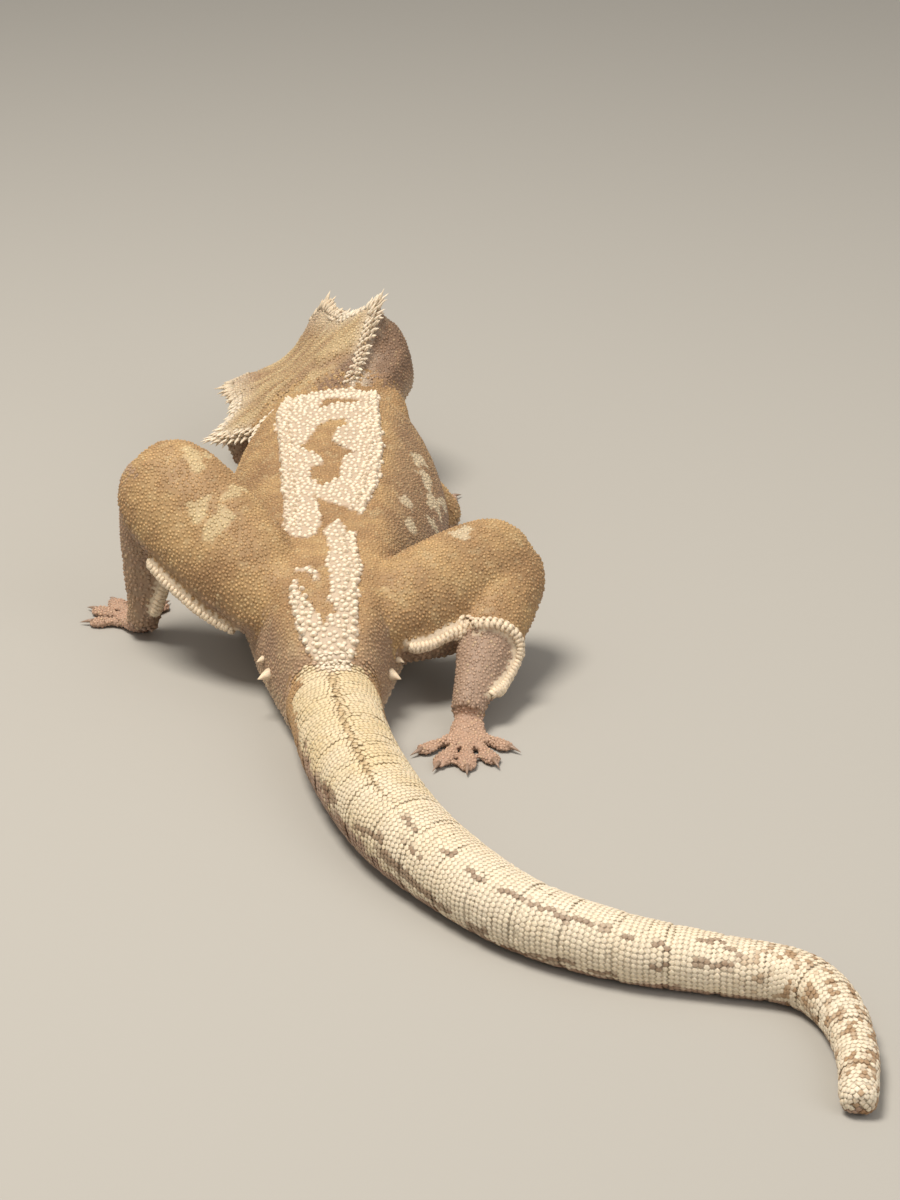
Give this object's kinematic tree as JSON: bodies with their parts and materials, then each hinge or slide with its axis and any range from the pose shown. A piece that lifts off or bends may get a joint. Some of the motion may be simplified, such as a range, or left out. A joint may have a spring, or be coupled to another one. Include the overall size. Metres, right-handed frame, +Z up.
{
  "type": "lizard figure",
  "caption": "Life-size still figure of a crested gecko lying low, with a spiny crested head, folded hind legs and a long curved tail.",
  "frame": {"origin": "middle of the bounding box on the floor plane that the belly, feet and tail rest on", "axes": "+Y the way the trunk faces, +X the animal's right, +Z up"},
  "size_m": [0.0788, 0.168, 0.027],
  "materials": {
    "skin_tan": "matt, finely granular",
    "skin_cream": "matt, finely ringed",
    "skin_pale": "matt, soft",
    "eye_gloss": "wet gloss"
  },
  "bodies": {
    "root": {"head": "skin_tan", "lower_jaw": "skin_tan", "neck": "skin_tan", "torso": "skin_tan", "right_thigh": "skin_tan", "right_shank": "skin_tan", "left_thigh": "skin_tan", "left_shank": "skin_tan", "right_upper_arm": "skin_tan", "right_forearm": "skin_tan", "left_upper_arm": "skin_tan", "left_forearm": "skin_tan", "right_foot": "skin_pale", "left_foot": "skin_pale", "right_hand": "skin_pale", "left_hand": "skin_pale", "tail_base": "skin_cream", "tail_middle": "skin_cream", "tail_rear": "skin_cream", "tail_tip": "skin_cream", "eye_right": "eye_gloss", "eye_left": "eye_gloss"}
  },
  "joints": []
}
